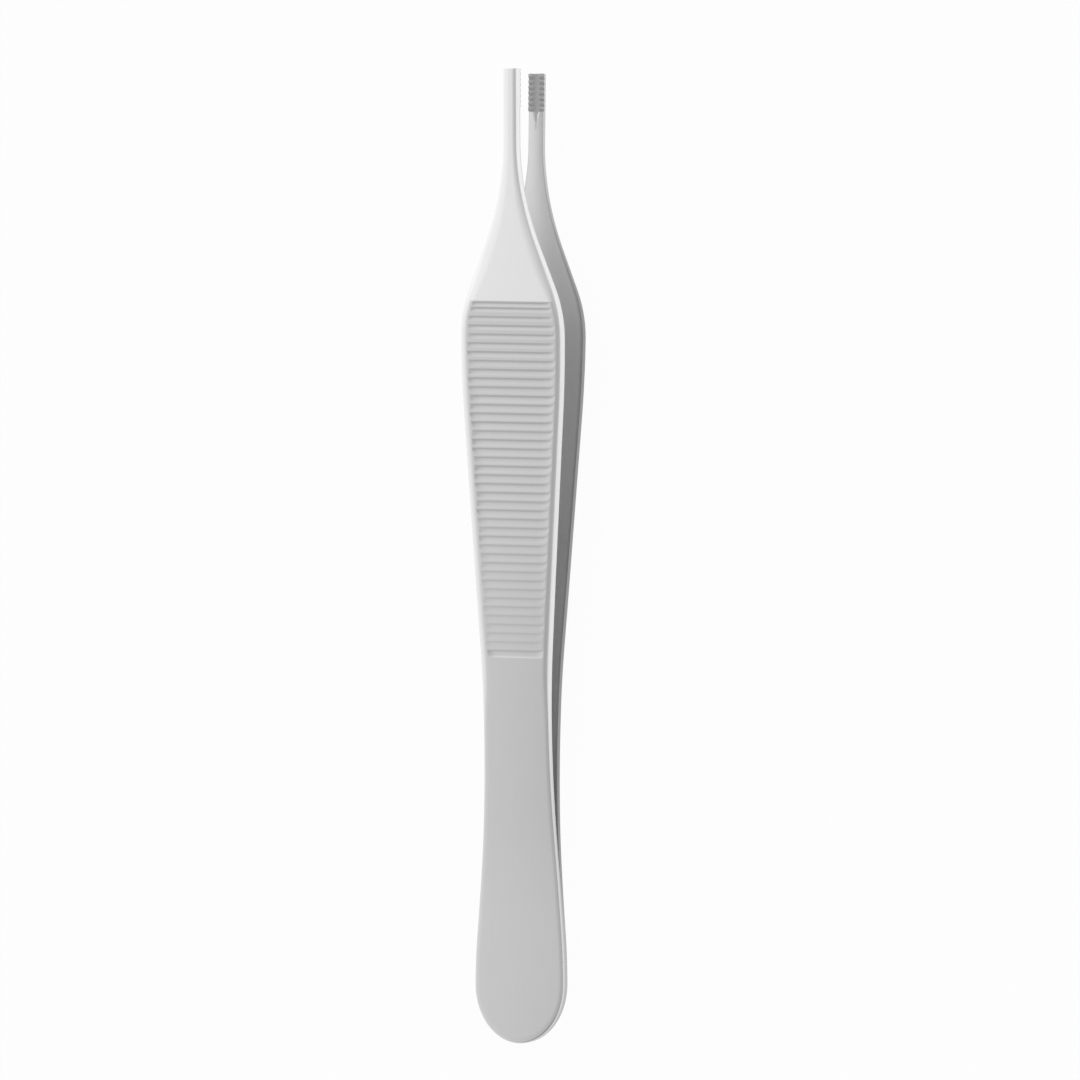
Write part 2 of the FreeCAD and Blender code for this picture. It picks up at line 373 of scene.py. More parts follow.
@dataclass
class ArmForm:
    """Formulas of an arm's surface, on whole arrays of stations."""

    sizes: ArmSizes = field(default_factory=ArmSizes)
    samples: int = 2000
    halvings: int = 50
    stand: Stand = field(init=False)

    def __post_init__(self) -> None:
        """Work out how the forceps lies, which also says how far the bow is ground."""
        self.stand = self._find_stand()

    def inner_height(self, s: Array) -> Array:
        """Height of the inner face: zero on the weld, then two parabolas, over the bend and the bow.

        Args:
            s: stations along the arm.

        Returns:
            Height over the weld plane.
        """
        side, length = self.sizes.profile, self.sizes.outline.length
        run = length - side.weld_length - side.bend_length
        splay = side.tip_gap / 2 / (side.bend_length / 2 + (1 + side.bow_share) / 2 * run)
        past_weld = np.clip(s - side.weld_length, 0.0, None)
        past_bend = np.clip(past_weld - side.bend_length, 0.0, None)
        bend = past_weld ** 2 / (2 * side.bend_length)
        bow = side.bend_length / 2 + past_bend - (1 - side.bow_share) * past_bend ** 2 / (2 * run)
        return splay * np.where(past_weld <= side.bend_length, bend, bow)

    def thickness(self, s: Array) -> Array:
        """Thin at the spring, thickest under the grip, and less again at the jaw.

        Args:
            s: stations along the arm.

        Returns:
            Thickness at each station.
        """
        side, plan = self.sizes.profile, self.sizes.outline
        share = (s - side.weld_length) / side.spring_run
        gain = side.grip_thickness - side.spring_thickness
        back = side.spring_thickness + gain * s_curve(share, *side.spring_blend)
        gain = side.jaw_thickness - side.grip_thickness
        return back + blend(s, plan.grip_station, plan.neck_station, 0.0, gain)

    def outer_height(self, s: Array) -> Array:
        """Height of the flat of the outer face, cut by the line on which the forceps stands."""
        bow = self.inner_height(s) + self.thickness(s)
        ground = (self.stand.lift + s * math.sin(self.stand.angle)) / math.cos(self.stand.angle)
        return np.where(s <= self.sizes.profile.weld_length, bow, np.minimum(bow, ground))

    def edge_values(self, s: Array) -> list[Array]:
        """Rim width, depth and fullness and roll-off width and depth, blended from handle to jaw.

        Args:
            s: stations along the arm.

        Returns:
            Five arrays, in the order of EdgeForm's sizes.
        """
        sizes = self.sizes
        top, foot = sizes.panel_top, sizes.panel_foot
        widest = top + sizes.flank_roll_run
        neck = sizes.outline.neck_station
        edges = (sizes.handle_edge, sizes.panel_edge, sizes.flank_edge, sizes.jaw_edge)
        found = []
        for index, (handle, panel, flank, jaw) in enumerate(zip(*map(astuple, edges))):
            value = blend(s, foot - sizes.rim_run, foot, handle, panel)
            if index < 3:
                value = value + blend(s, top, top + sizes.rim_narrow_run, 0.0, jaw - panel)
            else:
                value = value + blend(s, top - sizes.flank_roll_run / 2, widest, 0.0, flank - panel)
                value = value + blend(s, widest, neck, 0.0, jaw - flank)
            found.append(value)
        return found

    def _find_stand(self) -> Stand:
        """Halve the range of angles until the butt's end and the ground bow lie on one level.

        Returns:
            The angle, and how far the lowest point lies below the butt's end.
        """
        sizes = self.sizes
        plan, side, form = sizes.outline, sizes.profile, sizes.handle_edge
        top = side.spring_thickness
        crease = plan.butt_width / 2 - form.rim_width
        along = plan.butt_length - plan.butt_stretch * np.array([crease, crease - form.roll_width])
        depth = np.array([top - form.roll_depth, top])
        s = np.linspace(side.weld_length, plan.length, self.samples)
        bow = self.inner_height(s) + self.thickness(s)
        low, high = 0.0, side.steepest_rest
        for _ in range(self.halvings):
            angle = (low + high) / 2
            butt_level = (depth * math.cos(angle) - along * math.sin(angle)).max()
            bow_level = (bow * math.cos(angle) - s * math.sin(angle)).max() - side.grind_depth
            low, high = (angle, high) if bow_level > butt_level else (low, angle)
        return Stand(angle, float(butt_level))


@dataclass
class Columns:
    """Where the points of half a section lie: a zone, and a share of that zone, for each column."""

    zones: Array
    shares: Array

    @classmethod
    def spaced(cls) -> "Columns":
        """Columns close together where the section turns and beside the edges of trough and pad."""
        inner = np.array([0.0, 0.12, 0.24, 0.36, 0.44, 0.49, 0.515, 0.56, 0.66, 0.76, 0.86, 0.94])
        edge, rim, roll = (np.linspace(0.0, 1.0, count)[:-1] for count in (5, 9, 8))
        side = np.array([0.0, 0.4, 0.79, 0.83])
        outer = np.array([0.0, 0.03, 0.12, 0.26, 0.42, 0.6, 0.8, 1.0])
        parts = [inner, edge, side, rim, roll, outer]
        zones = np.concatenate([np.full(len(part), index) for index, part in enumerate(parts)])
        return cls(zones, np.concatenate(parts))

    def within(self, *zones: Zone) -> Array:
        """Mask of the columns of these zones."""
        return np.isin(self.zones, zones)


@dataclass
class ArmSkin:
    """Skin of one arm as a grid of rows along it and columns round it, closed at butt and tip.

    Attributes:
        form: the arm's formulas.
        layer: which arm it is.
    """

    form: ArmForm
    layer: Layer
    columns: Columns = field(default_factory=Columns.spaced)
    butt_rows: int = 73
    lean_passes: int = 4

    @property
    def groove_mouths(self) -> Array:
        """Edges of the grip grooves' steep walls, from the flank to the foot of the panel."""
        panel, first = self.form.sizes.panel, self.form.sizes.panel_top
        count = round((panel.length - panel.first_pitch) / panel.pitch)
        return np.append(first, first - panel.first_pitch - panel.pitch * np.arange(count))

    @property
    def tooth_stations(self) -> Array:
        """Middles of the gaps between teeth, from the tip back."""
        jaw, length = self.form.sizes.jaw, self.form.sizes.outline.length
        count = int(jaw.teeth_length / jaw.pitch)
        offset = jaw.first_gap if self.layer is Layer.UPPER else jaw.first_gap + 0.5
        return length - (np.arange(count) + offset) * jaw.pitch

    def row_stations(self) -> Array:
        """Stations of the rows: even on plain stretches, and set to the grooves and teeth elsewhere.

        Returns:
            Rising stations from the butt's joint line to the tip.
        """
        sizes = self.form.sizes
        plan, panel, jaw = sizes.outline, sizes.panel, sizes.jaw
        top, foot = sizes.panel_top, sizes.panel_foot
        wall = np.linspace(-panel.edge_round, panel.steep_wall, 7)
        climb = np.linspace(panel.steep_wall, panel.pitch - 1.6 * panel.edge_round, 10)[1:]
        grooves = (self.groove_mouths[:, None] - np.concatenate([wall, climb])).ravel()
        bites = jaw.notch * np.array([-1.0, -0.66, -0.33, 0.0, 0.33, 0.66, 1.0])
        teeth = (self.tooth_stations[:, None] + bites).ravel()
        pad = sizes.pad_station
        last = plan.length - jaw.tip_round
        turn = np.linspace(0.0, math.pi / 2, 6)
        plain = [
            np.linspace(plan.butt_length, foot - 0.6, 72),
            np.linspace(foot - 0.4, foot, 5),
            np.linspace(top + 0.07, top + 0.8, 10),
            np.linspace(top + 1.0, plan.neck_station, 64),
            np.linspace(plan.neck_station + 0.25, pad - 0.1, 16),
            np.array([pad - 0.015, pad + 0.015, pad + 0.08]),
            teeth[(teeth > pad + 0.1) & (teeth < last - 0.04)],
            last + jaw.tip_round * np.sin(turn),
        ]
        rows = np.sort(np.concatenate([grooves] + plain))
        return rows[np.diff(rows, prepend=0.0) > 0.004]

    def skewed(self, rows: Array, x: Array) -> Array:
        """Station of each point of a row: the row leans with the grooves, less and less outside the panel.

        Args:
            rows: the row's own station, as a column of values.
            x: place across the arm.

        Returns:
            The row's station less x times the groove's slope, faded out away from the panel.
        """
        panel, top, foot = self.form.sizes.panel, self.form.sizes.panel_top, self.form.sizes.panel_foot
        lean = blend(rows, foot - panel.skew_fade, foot - 0.5, 0.0, 1.0)
        lean = lean - blend(rows, top + 0.5, top + panel.skew_fade, 0.0, 1.0)
        return rows - x * math.tan(panel.skew) * lean

    def side_share(self, s: Array) -> Array:
        """How much painted shade the side wall takes: half on the upper arm's handle, most on the lower
        arm's grip.

        The upper arm's wall has none from the grip on, where it is bright, but for a thin line of painted
        shade along its foot at the neck.

        Args:
            s: station of each point.

        Returns:
            Share of the side's tone, which is painted shade.
        """
        sizes = self.form.sizes
        plan, weld, top = sizes.outline, sizes.profile.weld_length, sizes.panel_top
        if self.layer is Layer.UPPER:
            # painted shade: a thin dark line along the foot of the upper arm's wall at the neck
            at_foot = self.columns.within(Zone.SIDE) & (self.columns.shares == 0.0)
            start, end = top + sizes.painted_light_run, plan.neck_station - sizes.painted_light_run
            thin_line = blend(s, start, end, 0.0, sizes.foot_shade)
            return blend(s, weld, sizes.panel_foot, sizes.side_shade, 0.0) + at_foot * thin_line
        # painted shade on the lower arm's side wall, which lies under the upper arm; it clears by the neck
        share = blend(s, weld / 2, weld + sizes.profile.bend_length, sizes.side_shade, sizes.grip_shade)
        start, end = top - sizes.rim_tone_run, plan.neck_station + sizes.painted_light_run
        return share + blend(s, start, end, 0.0, -sizes.neck_shade_loss)

    def polish_and_highlight_share(self, s: Array) -> Array:
        """Share of buffed finish and painted highlight on the edge: little at the butt, more along the
        grip, full at the neck.

        Args:
            s: station of each point.

        Returns:
            Share of the rim's tone: a buffed finish, and a painted highlight.
        """
        sizes = self.form.sizes
        top, foot = sizes.panel_top, sizes.panel_foot
        handle, grip, flank, neck = sizes.polish_and_highlight_shares
        behind, beyond = sizes.polish_and_highlight_steps
        share = handle + blend(s, foot - sizes.polish_and_highlight_run, foot + sizes.painted_light_run, 0.0, grip)
        share = share + blend(s, top - behind, top, 0.0, flank)
        return share + blend(s, top + beyond, sizes.outline.neck_station, 0.0, neck)

    def groove_form(self, s: Array, x: Array, crease: Array) -> tuple[Array, Array]:
        """How far the panel's pattern lies below the outer face, and how much painted shade it gets.

        Behind a groove's mouth the surface falls by half a cosine wave over the steep wall and then
        climbs back as a parabola, steepest at the end. The shade lies in the foot of the steep wall.

        Args:
            s: stations.
            x: place across the arm.
            crease: distance of the rim's crease from the middle.

        Returns:
            Depth, and shade from 0 to 1, at each point.
        """
        panel, mouths = self.form.sizes.panel, self.groove_mouths
        level = s + x * math.tan(panel.skew)
        number = np.round((mouths[1] - level) / panel.pitch)
        short = panel.uneven * (1.0 + np.sin(panel.end_wave * number * np.sign(x)))
        inside = s_curve((crease - short - np.abs(x)) / panel.end_run + panel.end_offset, 0.5, 0.5)
        level = level - panel.end_bend * (1.0 - inside) ** 2
        order = np.clip(np.floor((mouths[1] - level) / panel.pitch) + 1, 0, len(mouths) - 1).astype(int)
        back = mouths[order] - level
        top, foot = mouths[0], mouths[0] - panel.length
        opened = blend(level, top - panel.opening_run, top, 1.0, 0.0)
        width = panel.narrow_width + (panel.groove_width - panel.narrow_width) * opened
        fullness = 1.0 - panel.top_fade * (1.0 - opened)
        fullness = fullness - panel.foot_fade * blend(level, foot, foot + panel.fade_run, 1.0, 0.0)
        fullness = fullness * (1.0 + panel.uneven * np.sin(panel.depth_wave * order))
        last = order == len(mouths) - 1
        fullness = np.where(last, panel.foot_fullness, fullness)
        fall = np.clip((back + panel.edge_round) / (panel.steep_wall + panel.edge_round), 0.0, 1.0)
        climb = np.clip((back - panel.steep_wall) / (width - panel.steep_wall), 0.0, 1.0)
        wave = (1.0 - np.cos(math.pi * fall)) / 2
        depth = inside * panel.groove_depth * fullness * wave * (1.0 - climb ** np.where(last, 4, 2))
        along = np.clip((top - level) / panel.length, 0.0, 1.0)
        # painted shade in the foot of the steep wall
        shade = inside * wave * (1.0 - climb) ** panel.shade_falloff
        return depth, shade * (1.0 - panel.shade_loss * along)

    def jaw_face(self, s: Array, x: Array) -> Array:
        """Height of the inner face: the plain face, or the proud pad with its trough and tooth gaps.

        The trough is a cylinder along the jaw that ends in a cone, and a tooth gap is a V across it.

        Args:
            s: stations.
            x: place across the arm.

        Returns:
            Height of the inner face over the weld plane.
        """
        sizes, jaw = self.form.sizes, self.form.sizes.jaw
        plain = self.form.inner_height(s)
        on_pad = s > sizes.pad_station
        face = plain - np.where(on_pad, jaw.proud, 0.0)
        radius = sizes.trough_radius(s)
        axis = plain + jaw.trough_depth - jaw.proud - jaw.trough_radius
        trough = axis + np.sqrt(np.clip(radius ** 2 - x ** 2, 0.0, None))
        trough = np.where(np.abs(x) < radius, trough, -np.inf)
        gaps = self.tooth_stations
        nearest = np.clip(np.round((gaps[0] - s) / jaw.pitch), 0, len(gaps) - 1)
        away = np.abs(s - (gaps[0] - nearest * jaw.pitch))
        bite = plain - jaw.proud + jaw.tooth_depth * (1.0 - away / jaw.notch)
        bite = np.where(on_pad, bite, -np.inf)
        return np.maximum(np.maximum(face, trough), bite)

    def half_section(self, rows: Array, shrink: Array, hand: int) -> tuple[Array, Array]:
        """Points of one half of every row.

        Inner face: straight out to the inner edge. Inner edge: a quarter round. Side: straight up.
        Rim and roll-off: quadratic Bezier curves. Outer face: straight in to the middle. The outer side
        then drops by a crown that grows with the square of x, and the grip grooves are cut in it.

        Args:
            rows: stations of the rows.
            shrink: how far each row is drawn in on all sides.
            hand: 1 for the right half and -1 for the left.

        Returns:
            Places (across, along, up) and marks of the points, rows by columns.
        """
        sizes, columns = self.form.sizes, self.columns
        plan = sizes.outline
        t, row = columns.shares, rows[:, None]
        s = row * np.ones_like(t)
        for _ in range(self.lean_passes):
            x, z, side, top, crease = self._plain_points(s, t, shrink[:, None])
            s = self.skewed(row, hand * x)
        crown = blend(s, plan.waist_from_butt, plan.grip_station, sizes.handle_crown, sizes.panel_crown)
        crown = crown + blend(s, plan.grip_station, plan.neck_station, 0.0, -sizes.panel_crown)
        upper = columns.zones >= Zone.RIM
        drop = crown * (x / side) ** 2
        z = np.where(upper, z - drop, z)
        depth, shade = self.groove_form(s, hand * x, crease)
        cut = top - drop - depth
        carved = upper & (depth > 0.0) & (cut < z)
        z = np.where(carved, cut, z)
        marks = [np.where(carved, shade, 0.0), *self._tone_and_painted_light_marks(s, hand * x)]
        return np.stack([hand * x, s, z], axis=-1), np.stack(marks, axis=-1)

    def _tone_and_painted_light_marks(self, s: Array, x: Array) -> list[Array]:
        """How far each point belongs to the inner face, flank, buffed rim, side wall and toothed zone,
        partly as painted light.

        Args:
            s: station of each point.
            x: its place across the arm.

        Returns:
            The marks after the first, in the order of MARKS.
        """
        sizes, columns = self.form.sizes, self.columns
        top, whole = sizes.panel_top, np.ones_like(s)
        level = s + x * math.tan(sizes.panel.skew)
        rim = columns.within(Zone.RIM)
        # painted highlight on the face and rim beyond the panel's top
        run, (start, end) = sizes.rim_tone_run, sizes.tone_step
        soft_step = blend(level, top - run, top + run, 0.0, 1.0)
        beyond = np.where(rim, soft_step, blend(level, top + start, top + end, 0.0, 1.0))
        under = columns.zones <= Zone.INNER_EDGE
        wall = columns.within(Zone.SIDE)
        # buffed finish and painted highlight on the rim, and on the side wall
        edge = np.where(rim, 1.0 - columns.shares ** 3, 0.0) + wall * sizes.wall_polish_and_highlight
        # the lower arm gets no highlight: its rim and inner edge take the side wall's painted shade
        if self.layer is Layer.LOWER:
            wall, edge = (wall | rim) + sizes.edge_shade * columns.within(Zone.INNER_EDGE), 0.0 * edge
        # the trough's tail gets the toothed zone's tone, as painted shade in its end
        in_tail = np.abs(x) < sizes.trough_radius(s) * sizes.jaw.tail_shade
        return [
            under * whole,
            beyond * (columns.zones >= Zone.RIM),
            edge * self.polish_and_highlight_share(s),
            wall * self.side_share(s),
            ((s > sizes.pad_station) | in_tail) * under * whole,
        ]

    def _plain_points(self, s: Array, t: Array, shrink: Array) -> tuple[Array, ...]:
        """Points of the half-section without crown or grooves.

        Args:
            s: station of each point.
            t: share of each column in its zone.
            shrink: how far the row is drawn in.

        Returns:
            Place across and height of each point, and half the width, outer height and crease there.
        """
        sizes, columns = self.form.sizes, self.columns
        plan, jaw = sizes.outline, sizes.jaw
        side = plan.half_width(s) - shrink
        top = self.form.outer_height(s) - shrink
        rim_width, rim_depth, fullness, roll_width, roll_depth = self.form.edge_values(s)
        on_pad = s > sizes.pad_station
        low_side = columns.within(Zone.INNER_FACE, Zone.INNER_EDGE)
        low_side = low_side | (columns.within(Zone.SIDE) & (columns.shares < 0.8))
        wide = side + np.where(on_pad & low_side, jaw.side_proud, 0.0)
        edge = np.where(on_pad, sizes.inner_edge / 3, sizes.inner_edge)
        inner_x = t * (wide - edge)
        crown_end = plan.grip_station + sizes.inner_crown_run
        belly = blend(s, plan.grip_station, crown_end, 0.0, sizes.inner_crown) * ~on_pad
        foot = self.jaw_face(s, inner_x) + belly * (inner_x / wide) ** 2 + shrink
        rim_foot = self.jaw_face(s, wide - edge) + belly * (1.0 - edge / wide) ** 2 + shrink
        turn = t * math.pi / 2
        shoulder = top - roll_depth - rim_depth
        crease_x, crease_z = side - rim_width, top - roll_depth
        pole_x = side - rim_width / 2 + rim_width * fullness / 2
        pole_z = shoulder + rim_depth / 2 + rim_depth * fullness / 2
        flat_x = crease_x - roll_width
        places = {
            Zone.INNER_FACE: (inner_x, foot),
            Zone.INNER_EDGE: (wide - edge + edge * np.sin(turn), rim_foot + edge - edge * np.cos(turn)),
            Zone.SIDE: (wide, rim_foot + edge + t * (shoulder - rim_foot - edge)),
            Zone.RIM: (quadratic(t, side, pole_x, crease_x), quadratic(t, shoulder, pole_z, crease_z)),
            Zone.ROLL_OFF: (
                quadratic(t, crease_x, crease_x - roll_width / 2, flat_x),
                quadratic(t, crease_z, top, top),
            ),
            Zone.OUTER_FACE: ((1 - t) * flat_x, top),
        }
        x, z = np.zeros_like(s), np.zeros_like(s)
        for zone, (across, height) in places.items():
            mask = columns.within(zone)
            x, z = np.where(mask, across, x), np.where(mask, height, z)
        return x, z, side, top, crease_x

    def grids(self) -> tuple[list[Array], list[Array], list[Array]]:
        """Vertices, their marks and the quads of the body and of the butt.

        The body's ring is the right half and the left half, back again. The butt is the half-section
        beside it turned by half a turn: x = r cos a and s = joint line - butt_stretch * r * sin a.

        Returns:
            Vertex places, vertex marks and faces as index arrays.
        """
        plan, jaw = self.form.sizes.outline, self.form.sizes.jaw
        rows = self.row_stations()
        past = np.clip(rows - plan.length + jaw.tip_round, 0.0, jaw.tip_round)
        shrink = jaw.tip_round - np.sqrt(jaw.tip_round ** 2 - past ** 2)
        halves = zip(*[self.half_section(rows, shrink, hand) for hand in (1, -1)])
        body, body_marks = (np.concatenate([right, left[:, -2:0:-1]], axis=1) for right, left in halves)
        edge, edge_marks = self.half_section(np.array([plan.butt_length]), np.zeros(1), 1)
        turn = np.linspace(0.0, math.pi, self.butt_rows)[:, None]
        radius, height = edge[..., 0], edge[..., 2]
        along = plan.butt_length - plan.butt_stretch * radius * np.sin(turn)
        butt = np.stack([radius * np.cos(turn), along, height * np.ones_like(turn)], axis=-1)
        butt_marks = edge_marks * np.ones_like(turn)[..., None]
        faces = [self._quads(*body.shape[:2], wrap=True), self._quads(*butt.shape[:2], wrap=False)]
        return [body, butt], [body_marks, butt_marks], faces

    @staticmethod
    def _quads(rows: int, columns: int, wrap: bool) -> Array:
        """Quads of a grid of vertices numbered row by row.

        Args:
            rows: number of rows.
            columns: number of columns.
            wrap: whether the last column joins the first.

        Returns:
            Four vertex numbers for each quad.
        """
        across = columns if wrap else columns - 1
        r, c = np.meshgrid(np.arange(rows - 1), np.arange(across), indexing="ij")
        after = (c + 1) % columns
        low, high = r * columns, (r + 1) * columns
        return np.stack([low + c, high + c, high + after, low + after], -1).reshape(-1, 4)


def maths(operation: str, swapped: bool = False) -> Callable[["Signal", Any], "Signal"]:
    """Method that adds a Math node on a signal and another value, in this order or swapped."""

    def add_node(self: "Signal", other: Any) -> "Signal":
        """Add the node and wrap its output."""
        inputs = {0: other, 1: self} if swapped else {0: self, 1: other}
        return self.sheet.signal("ShaderNodeMath", inputs, operation=operation)

    return add_node


@dataclass
class Signal:
    """A number that varies over a surface: an output socket on a sheet, with Python's operators."""

    sheet: "NodeSheet"
    socket: bpy.types.NodeSocket

    __add__ = __radd__ = maths("ADD")
    __sub__ = maths("SUBTRACT")
    __rsub__ = maths("SUBTRACT", swapped=True)
    __mul__ = maths("MULTIPLY")
    at_most = maths("MINIMUM")
    at_least = maths("MAXIMUM")


class NodeSheet:
    """Node tree of a material or world, its owner."""

    def __init__(self, owner: bpy.types.ID) -> None:
        """Start with an empty tree."""
        owner.use_nodes = True
        self.tree = owner.node_tree
        self.tree.nodes.clear()

    def node(self, kind: str, inputs: dict[Any, Any], **settings: Any) -> bpy.types.Node:
        """Add a node.

        Args:
            kind: the node's type.
            inputs: value, socket or signal of each input, by name or number.
            settings: the node's settings, which are set first.

        Returns:
            The node.
        """
        node = self.tree.nodes.new(kind)
        for name, value in settings.items():
            setattr(node, name, value)
        for name, value in inputs.items():
            source = value.socket if isinstance(value, Signal) else value
            if isinstance(source, bpy.types.NodeSocket):
                self.tree.links.new(source, node.inputs[name])
            else:
                node.inputs[name].default_value = source
        return node

    def signal(self, kind: str, inputs: dict[Any, Any], output: Any = 0, **settings: Any) -> Signal:
        """Add a node and wrap one of its outputs."""
        return Signal(self, self.node(kind, inputs, **settings).outputs[output])

    def noise(self, place: bpy.types.NodeSocket, scale: float, detail: float, rough: float) -> Signal:
        """Add a noise about 0.5 over a place."""
        inputs = {"Vector": place, "Scale": scale, "Detail": detail, "Roughness": rough}
        return self.signal("ShaderNodeTexNoise", inputs)

    def grey(self, level: Signal) -> bpy.types.NodeSocket:
        """Turn a number into a neutral colour."""
        return self.node("ShaderNodeCombineColor", {part: level for part in (0, 1, 2)}).outputs[0]


@dataclass(frozen=True)
class Tone:
    """Base colour and roughness of one zone of an arm."""

    brightness: float
    roughness: float


@dataclass(frozen=True)
class SatinSteel:
    """Satin stainless steel with a fine even grain, and a tone for each zone; some zones get painted
    highlight and some painted shade.

    Attributes:
        face: tone of the plain outer face.
        zones: tone of each mark, laid over one another in this order.
        recess_shade: how much darker a groove is painted at the foot of its steep wall, as painted shade.
        brush_stretch: how much longer than wide the brush marks are, as a scale along the arm.
    """

    face: Tone = Tone(0.64, 0.33)
    zones: tuple = (
        ("inner", Tone(0.70, 0.36)),
        # painted highlight on the flank and neck beyond the panel
        ("forward", Tone(0.87, 0.33)),
        # buffed rim: a little smoother, and a painted highlight along it
        ("polish", Tone(0.95, 0.30)),
        # painted shade on the side walls, which are also rougher
        ("side", Tone(0.24, 0.40)),
        # teeth: rough as cut, and a little darker than the inner face as painted shade
        ("tooth", Tone(0.62, 0.85)),
    )
    recess_shade: float = 0.22
    grain_scale: float = 5200.0
    grain_depth: float = 0.000004
    grain_strength: float = 0.35
    grain_rough: float = 0.08
    cloud_rough: float = 0.06
    brush_stretch: float = 0.06
    cloud_scale: float = 90.0
    cloud_share: float = 0.04
    brush_share: float = 0.02

    def material(self, name: str) -> bpy.types.Material:
        """Build the material.

        Args:
            name: its name.

        Returns:
            The material, which reads the marks of the mesh.
        """
        material = bpy.data.materials.new(name)
        sheet = NodeSheet(material)
        place = sheet.node("ShaderNodeTexCoord", {}).outputs["Object"]
        kind = "ShaderNodeAttribute"
        marks = {mark: sheet.signal(kind, {}, "Fac", attribute_name=mark) for mark in MARKS}
        grain = sheet.noise(place, self.grain_scale, 3.0, 0.6)
        cloud = sheet.noise(place, self.cloud_scale, 4.0, 0.55)
        stretch = (1.0, self.brush_stretch, 1.0)
        drawn = sheet.node("ShaderNodeMapping", {"Vector": place, "Scale": stretch}).outputs[0]
        brush = sheet.noise(drawn, self.grain_scale / 2, 2.0, 0.5)
        level, rough = self.face.brightness, self.face.roughness
        for mark, tone in self.zones:
            level = level + marks[mark] * (tone.brightness - level)
            rough = rough + marks[mark] * (tone.roughness - rough)
        # painted shade at the foot of each groove's steep wall
        level = level * (1.0 - marks["recess"] * self.recess_shade)
        level = level + (cloud - 0.5) * self.cloud_share + (brush - 0.5) * self.brush_share
        rough = rough + (grain - 0.5) * self.grain_rough + (cloud - 0.5) * self.cloud_rough
        bump = sheet.node("ShaderNodeBump", {
            "Height": grain, "Strength": self.grain_strength, "Distance": self.grain_depth,
        })
        shader = sheet.node("ShaderNodeBsdfPrincipled", {
            "Base Color": sheet.grey(level), "Metallic": 1.0, "Roughness": rough, "Normal": bump.outputs[0],
        })
        sheet.node("ShaderNodeOutputMaterial", {"Surface": shader.outputs[0]})
        return material


@dataclass
class Forceps:
    """The pair of arms, built, laid down as the frame's solids lie, and put in their place."""

    form: ArmForm = field(default_factory=ArmForm)
    finish: SatinSteel = SatinSteel()
    sharp_angle: float = math.radians(38.0)
    merge_distance: float = 1e-7

    def build(self) -> list[bpy.types.Object]:
        """Build both arms.

        Returns:
            The upper and the lower arm's objects.
        """
        laid = {layer: self._lay_down(layer) for layer in Layer}
        along = np.concatenate([block[..., 1].ravel() for arm in laid.values() for block in arm[0]])
        middle = (along.min() + along.max()) / 2
        material = self.finish.material("satin_steel")
        arms = []
        for layer, (blocks, marks, faces) in laid.items():
            node = f"{layer.name.lower()}_arm"
            moved = [block - np.array([0.0, middle, 0.0]) for block in blocks]
            arm = self._make_piece(f"{node}_skin", moved, marks, faces)
            arm.data.materials.append(material)
            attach(arm, "root")
            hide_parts(node)
            self._report(arm, node)
            arms.append(arm)
        return arms

    def _lay_down(self, layer: Layer) -> tuple[list[Array], list[Array], list[Array]]:
        """Turn an arm about the butt's end by the rest angle and lift it; the lower arm is mirrored first.

        Args:
            layer: which arm.

        Returns:
            Vertex blocks in millimetres in the row frame (but for the shift along Y), marks and faces.
        """
        blocks, marks, faces = ArmSkin(self.form, layer).grids()
        stand = self.form.stand
        turned = []
        for block in blocks:
            x, s, z = block[..., 0], block[..., 1], block[..., 2] * layer
            y = s * math.cos(stand.angle) - z * math.sin(stand.angle)
            up = s * math.sin(stand.angle) + z * math.cos(stand.angle) + stand.lift
            turned.append(np.stack([x, y, up], axis=-1))
        return turned, marks, faces

    def _make_piece(
        self, name: str, blocks: list[Array], marks: list[Array], faces: list[Array]
    ) -> bpy.types.Object:
        """Join the blocks in one closed mesh with smooth shading and sharp edges.

        Args:
            name: the object's name.
            blocks: vertex grids of the body and of the butt, in millimetres.
            marks: the marks of each vertex, in the order of MARKS.
            faces: quads of each grid.

        Returns:
            The linked object, at the origin.
        """
        vertices = np.concatenate([block.reshape(-1, 3) * MM for block in blocks])
        rows, ring = blocks[0].shape[:2]
        quads = np.concatenate([faces[0], faces[1] + rows * ring])
        tip = np.arange(ring) + (rows - 1) * ring
        mesh = bpy.data.meshes.new(name)
        mesh.from_pydata(vertices.tolist(), [], quads.tolist() + [tip.tolist()])
        values = np.concatenate([mark.reshape(-1, len(MARKS)) for mark in marks])
        for index, mark in enumerate(MARKS):
            attribute = mesh.attributes.new(mark, "FLOAT", "POINT")
            attribute.data.foreach_set("value", values[:, index].astype(np.float32))
        work = bmesh.new()
        work.from_mesh(mesh)
        bmesh.ops.remove_doubles(work, verts=work.verts, dist=self.merge_distance)
        bmesh.ops.recalc_face_normals(work, faces=work.faces)
        work.to_mesh(mesh)
        work.free()
        mesh.shade_smooth()
        mesh.set_sharp_from_angle(angle=self.sharp_angle)
        return link(name, mesh)

    @staticmethod
    def _report(arm: bpy.types.Object, node: str) -> None:
        """Log the arm's size and how far it strays from the solid that it stands for.

        Args:
            arm: the arm's object.
            node: the solid's node.
        """
        places = np.array([vertex.co for vertex in arm.data.vertices])
        stray = np.abs([places.min(0), places.max(0)] - np.array(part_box(node))).max()
        triangles = sum(len(face.vertices) - 2 for face in arm.data.polygons)
        log.info("%s: %d triangles, box within %.3f mm of the solid's", arm.name, triangles, stray / MM)


